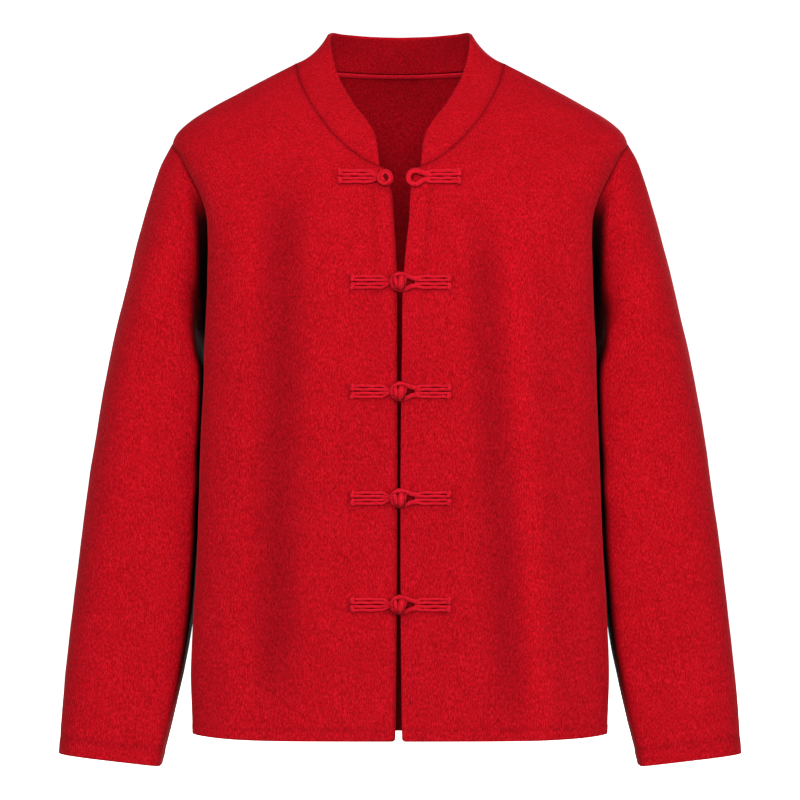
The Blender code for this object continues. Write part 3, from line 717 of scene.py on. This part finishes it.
def sleeve_form(ring, angle):
    """The sleeve's rings; near the armhole they take its own shape instead."""
    chart = np.where((angle <= 180)[:, None], armhole(angle, False), armhole(360 - angle, True))
    hole = torso(chart[:, 0], chart[:, 1])
    fade = 1 - smooth_step(ring, 0, CAP_RINGS)[:, None, None]
    form = sleeve_section(ring[:, None], angle[None]) + fade * (hole - sleeve_section(0.0, angle))
    form[..., 0] += beside_body(ring, angle)
    return form


def sleeve_angles():
    """The panels' own steps round the armhole, down the front and up the back."""
    front = [(0, FRONT_SPLIT, YOKE_STEPS + 1), (FRONT_SPLIT, 180, CHEST_STEPS + 1)]
    back = [(180, 360 - BACK_SPLIT, CHEST_STEPS + 1), (360 - BACK_SPLIT, 360, YOKE_STEPS + 1)]
    return np.concatenate([np.linspace(*steps)[:-1] for steps in front + back])


def beside_body(ring, angle):
    """How far the sleeve stands off the body: its front leaves a narrow deep valley there,
    and behind, where the body rounds away, the sleeve fills out under the arm."""
    ahead = smooth_step(ring, *BESIDE_RINGS) * (1 - smooth_step(ring, 2.6, 5.2))
    behind = smooth_step(ring, *BESIDE_RINGS) * (1 - 0.65 * smooth_step(ring, 4.0, 7.5))
    valley = VALLEY_DEPTH * (ahead[:, None] * bell(angle - 160, 34))
    return valley - UNDERARM_FILL * behind[:, None] * bell(angle - 216, 32)


def beside_shade(skin, angle):
    """How dark the sleeve's front is painted next to the body, a painted shade where it folds in
    beside it: from 1 at the body's own outline to 0 at a reach that is widest by the armhole and
    narrow below."""
    drop = -skin[..., 2]
    reach = SHADE_REACH + SHADE_MORE * bell(drop - 155, 75)
    near = skin[..., 0] - TORSO.at("half_width", drop)
    dark = 1 - smooth_step(near, 0.45 * reach, reach + 1.5)
    return dark * smooth_step(drop, *SHADE_DROPS) * (angle < 215)


# Soft creases of a sleeve: ring and angle where each begins and ends, half width in
# millimetres, and depth. The angle is 0 outside, 90 in front, 180 at the body.
SLEEVE_CREASES = Rows(
    "from_ring from_angle to_ring to_angle spread depth",
    (1.2, 150, 3.6, 95, 9, 2.2),
    (1.8, 165, 4.6, 120, 8, 1.8),
    (4.2, 100, 8.8, 78, 12, 1.7),
    (5.2, 48, 9.2, 40, 13, 1.2),
    (5.6, 160, 6.6, 110, 8, 1.6),
    (6.2, 165, 7.3, 118, 8, 1.3),
    (1.4, 215, 4.0, 260, 9, 2.2),
    (4.6, 250, 8.6, 282, 13, 1.8),
    (5.9, 200, 6.9, 245, 8, 1.5),
)


def crease_depth(skin, ring, angle, sign):
    """Bells across each crease's line on the sleeve, which fade at its two ends."""
    total = np.zeros(skin.shape[:2])
    creases = zip(*SLEEVE_CREASES.columns.values(), strict=True)
    for k, (r0, a0, r1, a1, spread, depth) in enumerate(creases):
        shift = 6 * np.sin(2.1 * k + sign)  # the two sleeves crease a little differently
        share = np.linspace(0, 1, 24)
        rings = r0 + (r1 - r0) * share + 0.08 * sign
        angles = a0 + (a1 - a0) * share + shift
        line = np.stack(
            [
                [np.interp(r, ring, np.arange(len(ring))) for r in rings],
                np.interp(angles % 360, angle, np.arange(len(angle))),
            ],
            -1,
        ).round().astype(int)
        path = skin[line[:, 0], line[:, 1]]
        start, step = path[:-1], np.diff(path, axis=0)
        best, where = np.full(skin.shape[:2], 1e9), np.zeros(skin.shape[:2])
        for j, (a, b) in enumerate(zip(start, step, strict=True)):
            s = np.clip(((skin - a) @ b) / max(b @ b, 1e-9), 0, 1)
            gap = np.linalg.norm(skin - a - s[..., None] * b, axis=-1)
            where = np.where(gap < best, (j + s) / len(step), where)
            best = np.minimum(best, gap)
        ends = smooth_step(where, 0, 0.3) * (1 - smooth_step(where, 0.7, 1))
        total = total + depth * ends * np.exp(-0.5 * (best / spread) ** 2)
    return total


def make_sleeve(side, sign, material):
    cuff = 10 - EDGE_STEPS[::-1] / LAST_SPAN
    ring = np.concatenate([EDGE_STEPS / FIRST_SPAN, np.linspace(0.3, 9.83, 118), cuff])
    angle = sleeve_angles()
    skin = sleeve_form(ring, angle)
    normal = grid_normals(skin, True)
    # A seam allowance goes a little way in under the panels and closes the armhole seam.
    turned_in = skin[:1] - SEAM_ALLOWANCE * unit(skin[5:6] - skin[:1]) - normal[:1]
    skin, normal = np.concatenate([turned_in, skin]), np.concatenate([normal[:1], normal])
    ring = np.concatenate([[-0.05], ring])
    wrapped = np.concatenate([skin, skin[:, :1]], 1)
    seam = distance_to(skin, sparse(wrapped[1], 90))
    edge = distance_to(skin, sparse(wrapped[-1], 90))
    relief = waves(skin, SLEEVE_WAVES, 31 + sign, 35 + sign)
    relief = relief - crease_depth(skin, ring, angle, sign)
    full = bell(ring - 0.7, 0.6)[:, None] * bell((angle + 180) % 360 - 180, 40)
    relief = (relief + HEAD_RISE * full) * smooth_step(seam, 0, SEAM_CALM)
    relief = relief - SEAM_DITCH * seam_share(seam)
    tuck = smooth_step(angle, *TUCK_STARTS) * (1 - smooth_step(angle, *TUCK_ENDS))
    relief = relief - TUCK * tuck * seam / TUCK_REACH * np.exp(1 - seam / TUCK_REACH)
    raised, stitched = turned_band(edge, CUFF_BAND)
    # Painted shade in the armhole seam and in the cuff's stitched groove.
    shade = SEAM_SHADE * seam_share(seam) + stitched
    # Painted shade where the sleeve folds in beside the body.
    shade = np.maximum(shade, BESIDE_SHADE * beside_shade(skin, angle))
    outer, inner = skins_of(skin, normal, relief + raised, [edge])
    index = numbered(skin)
    index = np.concatenate([index, index[:, :1]], 1)
    if sign < 0:
        outer, inner, index = outer * [-1, 1, 1], inner * [-1, 1, 1], index[:, ::-1]
    name = "sleeve_" + side
    return panel_shell(name + "_wool", outer, inner, [index], material, [name], shade)


# ---- collar and tape --------------------------------------------------------------
COLLAR_HEIGHT = 38.0
COLLAR_TUCK = 1.6  # how far it goes in under the panels
STATION_LENGTH = 160.0  # from one station's whole number to the next, along the seam


def make_collar(material):
    """From a little below the neck seam up to the top edge, station by station, with an
    outward bow and a rounded corner at each front end."""
    station = np.concatenate([EDGE_STEPS / STATION_LENGTH, np.linspace(0.06, 2, 150)])
    share = COLLAR_SETBACK + (1 - COLLAR_SETBACK) * np.minimum(station, 1)
    chart = np.where(
        (station <= 1)[:, None], front_neckline(share), back_neckline(2 - np.maximum(station, 1))
    )
    base = torso(chart[:, 0], chart[:, 1])
    top = np.stack([COLLAR_TOP.at(axis, station) for axis in "xyz"], -1)
    fine = EDGE_STEPS[:7] / COLLAR_HEIGHT
    middle = np.linspace(0.12, 0.82, 14)
    up = np.concatenate([[-COLLAR_TUCK / COLLAR_HEIGHT], fine, middle, 1 - fine[::-1]])
    start = station[None] * STATION_LENGTH
    near = np.clip(1 - start / COLLAR_CORNER, 0, 1)
    short = COLLAR_CORNER * (1 - np.sqrt(1 - near**2)) / COLLAR_HEIGHT
    rise = (up[:, None] * (1 - short))[..., None]
    grid = base * (1 - rise) + top * rise
    out = unit(np.cross(np.gradient(base, axis=0), top - base))
    half = grid + out * COLLAR_TOP.at("bow", station)[:, None] * 4 * rise * (1 - rise)
    whole = np.concatenate([half * [-1, 1, 1], half[:, -2::-1]], 1)
    normal = -grid_normals(whole)
    seam = distance_to(whole, sparse(whole[1], 120))
    edge = np.minimum(distance_to(whole, sparse(whole[-1], 160)), distance_to(whole, whole[:, 0]))
    edge = np.minimum(edge, distance_to(whole, whole[:, -1]))
    relief = waves(whole, COLLAR_WAVES, 41) - SEAM_DITCH * seam_share(seam)
    fall = edge_round(edge, COLLAR_WALL)
    outer = whole + normal * (relief - fall)[..., None]
    inner = whole - normal * (COLLAR_WALL - fall)[..., None]
    index = numbered(whole)[:, ::-1]
    # Painted shade in the neck seam's ditch.
    shade = SEAM_SHADE * seam_share(seam)
    return panel_shell("collar_wool", outer, inner, [index], material, ["collar"], shade)


TAPE_DROP, TAPE_HALF_HEIGHT = 3.2, 2.0  # below the neck seam
TAPE_DEPTH, TAPE_HALF_THICK = 1.8, 1.1  # inside the wall


def make_neck_tape(material):
    """A narrow folded tape inside the back neck, rounded like a bead."""
    turn = np.linspace(96, 264, 160)
    around = np.radians(np.linspace(0, 360, 17)[:-1])[:, None]
    drop = back_neck_drop(turn) + TAPE_DROP - TAPE_HALF_HEIGHT * np.cos(around)
    base = torso(turn[None], drop)
    down = torso(turn[None], drop + 0.3) - torso(turn[None], drop - 0.3)
    normal = unit(np.cross(down, np.gradient(base, axis=1)))
    normal = normal * np.sign((normal * (base * [1, 1, 0])).sum(-1, keepdims=True))
    ring = base - normal * (WALL + TAPE_DEPTH + TAPE_HALF_THICK * np.sin(around))[..., None]
    index = numbered(ring)
    ends = [index[:, 0].tolist(), index[:, -1][::-1].tolist()]
    faces = quads_of(np.concatenate([index, index[:1]])).tolist() + ends
    return add_piece("neck_tape_bead", ring.reshape(-1, 3), faces, material, ["neck_tape"])


# ---- frogs ------------------------------------------------------------------------
# A frog half's own frame: along is the distance from the ball's or the eye's middle
# towards the tail, across is downwards, and height is over the cloth.
UP = np.array([0.0, 0, 1])
# For a fastened and an open frog: each half's x, where its tail's cords begin and its bar
# lies, and the middle of the ball.
FASTENED = {
    "knot": (-2.0, 6.5, 41.0),
    "loop": (0.4, 12.5, 44.0),
    "ball": np.array([-1.6, 1.0, 7.8]),
}
OPEN = {
    "knot": (-13.7, 5.0, 41.0),
    "loop": (13.6, 8.5, 40.0),
    "ball": np.array([0.0, 2.7, 5.6]),
}
KNOT_PINCH, LOOP_PINCH = 0.35, 0.8  # how close a tail's cords are drawn at their start
STRANDS = (-5.0, -1.75, 1.75, 5.0)  # the middles of a tail's four cords
STRAND_HALF_WIDE, STRAND_HALF_THICK = 1.56, 1.7
CORD_SIDES = 14
# Painted shade down a cord's flanks, so that its top reads lighter.
CORD_SHADE = 0.85
OPEN_SAG = 1.3  # how far the open eye hangs

# The cord round the eye, from the tail to its far side; the other half mirrors it.
EYE = Rows(
    "step along wide lift open_along open_wide open_lift half_wide half_thick",
    (0, 18.0, 3.4, 1.6, 14.0, 3.4, 1.6, 2.4, 1.3),
    (1, 12.5, 3.4, 2.2, 8.8, 3.0, 2.2, 2.5, 1.9),
    (2, 8.6, 4.3, 2.6, 5.2, 4.3, 2.5, 2.5, 2.1),
    (3, 4.2, 6.0, 3.2, 1.6, 6.0, 2.6, 2.6, 2.2),
    (4, -1.4, 6.5, 4.2, -2.3, 5.5, 2.6, 2.7, 2.2),
    (5, -6.0, 4.0, 5.0, -5.2, 3.0, 2.6, 2.7, 2.2),
    (6, -7.5, 0.0, 5.3, -6.1, 0.0, 2.6, 2.7, 2.2),
)


def tube(path, up, half_wide, half_thick, closed=False):
    """A cord's rings round a path: an ellipse, wide across the path and thick along up."""
    if closed:
        ahead = unit(np.roll(path, -1, 0) - np.roll(path, 1, 0))
    else:
        ahead = unit(np.gradient(path, axis=0))
    side = unit(np.cross(ahead, up))
    lift = np.cross(side, ahead)
    a = np.linspace(0, 2 * np.pi, CORD_SIDES + 1)[:-1, None]
    halves = (np.broadcast_to(half, len(path)) for half in (half_wide, half_thick))
    wide, thick = (half[:, None, None] for half in halves)
    return path[:, None] + wide * np.cos(a) * side[:, None] + thick * np.sin(a) * lift[:, None]


def strand(offset, start, end, wave, pinch):
    """One cord of a tail, a little wavy, drawn to the middle towards its inner end."""
    along = np.linspace(start, end, 60)
    close = smooth_step(along, start, start + 9)
    across = offset * (pinch + (1 - pinch) * close) + 0.16 * np.sin(along * 0.42 + wave)
    height = STRAND_HALF_THICK * (0.55 + 0.45 * close) + 0.3 + 0.16 * np.sin(along * 0.61 + 2 * wave)
    path = np.stack([along, across, height], -1)
    thick = STRAND_HALF_THICK * (1 + 0.06 * np.sin(along * 1.3 + wave))
    return tube(path, UP, STRAND_HALF_WIDE, thick)


def end_bar(middle, wave):
    """The two rounded lobes where a tail's cords turn back, one for each pair."""
    rings = []
    for low, high in ((-7.3, -0.1), (0.1, 7.3)):
        s = np.linspace(-1, 1, 26)
        across = (low + high) / 2 + (high - low) / 2 * s
        full = np.maximum(1 - np.abs(s) ** 5, 0.004) ** 0.5
        along = middle + 0.3 * np.sin(wave + across)
        path = np.stack([along, across, np.full_like(s, 2.5)], -1)
        rings.append(tube(path, UP, 2.4 * full, 2.4 * full))
    return rings


def core(size, middle):
    """The ball's middle, an ellipsoid with small flat ends."""
    a, b = np.linspace(0.06, np.pi - 0.06, 24)[:, None], np.linspace(0, 2 * np.pi, 37)[:-1]
    ball = np.stack([np.sin(a) * np.cos(b), np.sin(a) * np.sin(b), np.cos(a) + 0 * b], -1)
    return ball * size + middle


def coil(middle):
    """The open button seen on its end: the cord winds in and up to a small dimple."""
    t = np.linspace(0, 1, 150)
    turn = 2 * np.pi * 2.35 * t + 0.6
    radius = np.interp(t, (0, 0.42, 0.8, 1), (5.4, 5.4, 2.6, 1.9))
    height = np.interp(t, (0, 0.4, 0.8, 1), (-0.4, 0.2, 2.2, 1.9))
    path = np.stack([radius * np.cos(turn), radius * np.sin(turn), height], -1) + middle
    size = 2.35 * np.minimum(1, 0.35 + 6 * np.minimum(t, 1 - t)) * (1 + 0.04 * np.sin(turn * 5))
    return tube(path, UP, size, size)


def band(middle, offset, radius, half_wide, lean):
    """One turn of the cord over a fastened button, an upright loop that leans a little."""
    t = np.linspace(0, 2 * np.pi, 73)[:-1]
    out = np.stack([0 * t, 1.12 * np.cos(t), np.sin(t)], -1)
    lean = np.radians(lean)
    path = out * radius + np.array([offset, 0, 0])
    path[:, 0] += radius * np.sin(lean) * np.cos(t)
    return tube(path + middle, out, half_wide, 1.7 * (1 + 0.05 * np.sin(7 * t)), closed=True)


# Each turn's offset along, its radius, its half width, and its lean in degrees.
BANDS = ((-1.4, 4.9, 3.7, 6), (3.2, 4.0, 2.3, -14), (-4.2, 3.6, 1.8, 16))
BALL_HALF = np.array([4.6, 5.6, 4.6])


def eye(fastened):
    """The cord from one side of the tail round the eye to the other."""
    step = np.linspace(0, 6, 60)
    prefix = "" if fastened else "open_"
    along, wide, lift = (EYE.at(prefix + n, step) for n in ("along", "wide", "lift"))
    path = np.stack([along, wide, lift], -1)
    path = np.concatenate([path, path[-2::-1] * [1, -1, 1]])
    path[:, 1] += OPEN_SAG * (not fastened) * smooth_step(-path[:, 0], -10, -2)
    sizes = [EYE.at(n, step) for n in ("half_wide", "half_thick")]
    wide, thick = (np.concatenate([size, size[-2::-1]]) for size in sizes)
    ridge = 1 + 0.05 * np.sin(np.arange(len(path)) * 0.9)
    return tube(path, UP, wide * ridge, thick * ridge)


def frog_half(name, parts, x, drop, heading, material, nodes):
    """Lays a frog half's cords on the front: each ring closes with a face at its ends,
    or meets the first one where the cord is endless. A cord's colour gets a painted shade down its
    flanks."""
    points, faces, shade, count = [], [], [], 0
    for rings, endless in parts:
        place, out = front_point(x + heading * rings[..., 0], drop + rings[..., 1])
        points.append((place + out * rings[..., 2:]).reshape(-1, 3))
        middle = rings.mean(1, keepdims=True)
        # Painted shade: darker where the ring faces sideways or down.
        facing = unit(rings - middle)[..., 2]
        shade.append((CORD_SHADE * (1 - smooth_step(facing, -0.1, 0.75))).ravel())
        index = numbered(rings) + count
        count += index.size
        ends = [] if endless else [index[0][::-1].tolist(), index[-1].tolist()]
        index = np.concatenate([index, index[:, :1]], 1)
        if endless:
            index = np.concatenate([index, index[:1]])
        faces += quads_of(index).tolist() + ends
    if heading > 0:
        faces = [face[::-1] for face in faces]
    shade = np.concatenate(shade)
    return add_piece(name, np.concatenate(points), faces, material, nodes, shade)


def tail(start, bar, cord_wave, bar_wave, pinch):
    """A tail's four cords and the two lobes of the bar they end in."""
    cords = [strand(offset, start, bar, cord_wave + offset, pinch) for offset in STRANDS]
    return [(rings, False) for rings in cords + end_bar(bar, bar_wave)]


def make_frogs(material):
    made = []
    for number, drop in enumerate(FROG_DROPS, 1):
        frog = FASTENED if number > 1 else OPEN
        x, start, bar = frog["knot"]
        parts = tail(start, bar, number, number, KNOT_PINCH)
        parts.append((core(BALL_HALF, frog["ball"]), False))
        if frog is FASTENED:
            parts += [
                (band(frog["ball"], o, radius, wide, lean + 5 * np.sin(3 * number)), True)
                for o, radius, wide, lean in BANDS
            ]
        else:
            parts.append((coil(frog["ball"]), False))
        name = f"knot_{number}"
        made.append(frog_half(name + "_cord", parts, x, drop, -1, material, [name]))
        x, start, bar = frog["loop"]
        parts = tail(start, bar, 3 * number, number + 2, LOOP_PINCH)
        parts.append((eye(frog is FASTENED), False))
        name = f"loop_{number}"
        made.append(frog_half(name + "_cord", parts, x, drop, 1, material, [name]))
    return made


# ---- stage ------------------------------------------------------------------------
def make_stage():
    """A plain pale floor and a round wall far off, alike from every side."""
    mesh = bpy.data.meshes.new("studio_floor")
    radius, floor, high, count = 11.0, -0.76, 9.0, 72
    turn = 2 * np.pi * np.arange(count) / count
    ring = np.stack([radius * np.cos(turn), radius * np.sin(turn)], -1)
    points = [(*place, z) for z in (floor, high) for place in ring.tolist()]
    wall = [(i, i + count, (i + 1) % count + count, (i + 1) % count) for i in range(count)]
    mesh.from_pydata(points, [], [tuple(range(count)), *wall])
    material = bpy.data.materials.new("white_paper_backdrop")
    material.use_nodes = True
    shader = material.node_tree.nodes["Principled BSDF"]
    shader.inputs["Base Color"].default_value = linear("#FFFFFF")
    shader.inputs["Roughness"].default_value = 1.0
    shader.inputs["Emission Color"].default_value = linear("#FFFFFF")
    shader.inputs["Emission Strength"].default_value = 1.0
    mesh.materials.append(material)
    stage = bpy.data.objects.new("studio_floor", mesh)
    bpy.context.scene.collection.objects.link(stage)
    stage.visible_diffuse = False


# Each lamp's name, place, aim, size in metres and power in watts.
CENTRE = (0, 0, -0.33)
LAMPS = (
    ("key_softbox", (2.6, -2.8, 0.1), CENTRE, 1.6, 46),
    ("fill_softbox", (-2.5, -2.8, -0.1), CENTRE, 1.6, 33),
    ("front_softbox", (0, -5.0, 0.4), CENTRE, 1.2, 90),
    ("top_softbox", (0, -1.9, 2.0), (0, 0, -0.1), 1.2, 22),
    ("back_softbox", (1.0, 3.6, 0.9), CENTRE, 1.4, 64),
)
SKY_STRENGTH = 0.12
# The camera's distance and height, and how wide a frame it sees at the jacket, in metres.
CAMERA_AWAY, CAMERA_HEIGHT, FRAME_WIDTH = 6.0, -0.312, 0.74
SENSOR = 36  # millimetres


def add_light(name, place, aim, size, power):
    """A square soft light at a place, turned to its aim."""
    light = bpy.data.lights.new(name, "AREA")
    light.shape, light.size, light.energy = "SQUARE", size, power
    lamp = bpy.data.objects.new(name, light)
    lamp.location = place
    lamp.visible_camera = False
    heading = Vector(aim) - Vector(place)
    lamp.rotation_euler = heading.to_track_quat("-Z", "Y").to_euler()
    bpy.context.scene.collection.objects.link(lamp)


def light_and_camera():
    scene = bpy.context.scene
    scene.view_settings.view_transform = "Standard"
    world = bpy.data.worlds.new("studio")
    world.use_nodes = True
    sky = world.node_tree.nodes["Background"]
    sky.inputs["Color"].default_value = (1, 1, 1, 1)
    sky.inputs["Strength"].default_value = SKY_STRENGTH
    scene.world = world
    for lamp in LAMPS:
        add_light(*lamp)
    camera = bpy.data.cameras.new("camera")
    camera.sensor_width = SENSOR
    camera.lens = SENSOR * CAMERA_AWAY / FRAME_WIDTH
    camera.clip_end = 50
    view = bpy.data.objects.new("camera", camera)
    view.location = (0, -CAMERA_AWAY, CAMERA_HEIGHT)
    view.rotation_euler = (np.pi / 2, 0, 0)
    scene.collection.objects.link(view)
    scene.camera = view


wool = felted_wool("brushed_felted_wool", WOOL_SHADES)
tape_wool = felted_wool("folded_wool_tape", CORD_SHADES, nap=1200, grain=1.0)
cord_wool = felted_wool("wool_wrapped_cord", CORD_SHADES, nap=1100, bump=0.5, sheen=0.15, grain=1.0)

fronts = [make_front("right", -1, wool), make_front("left", 1, wool)]
back = make_back(wool)
sleeves = [make_sleeve("right", -1, wool), make_sleeve("left", 1, wool)]
collar = make_collar(wool)
neck_tape = make_neck_tape(tape_wool)
frogs = make_frogs(cord_wool)

make_stage()
light_and_camera()
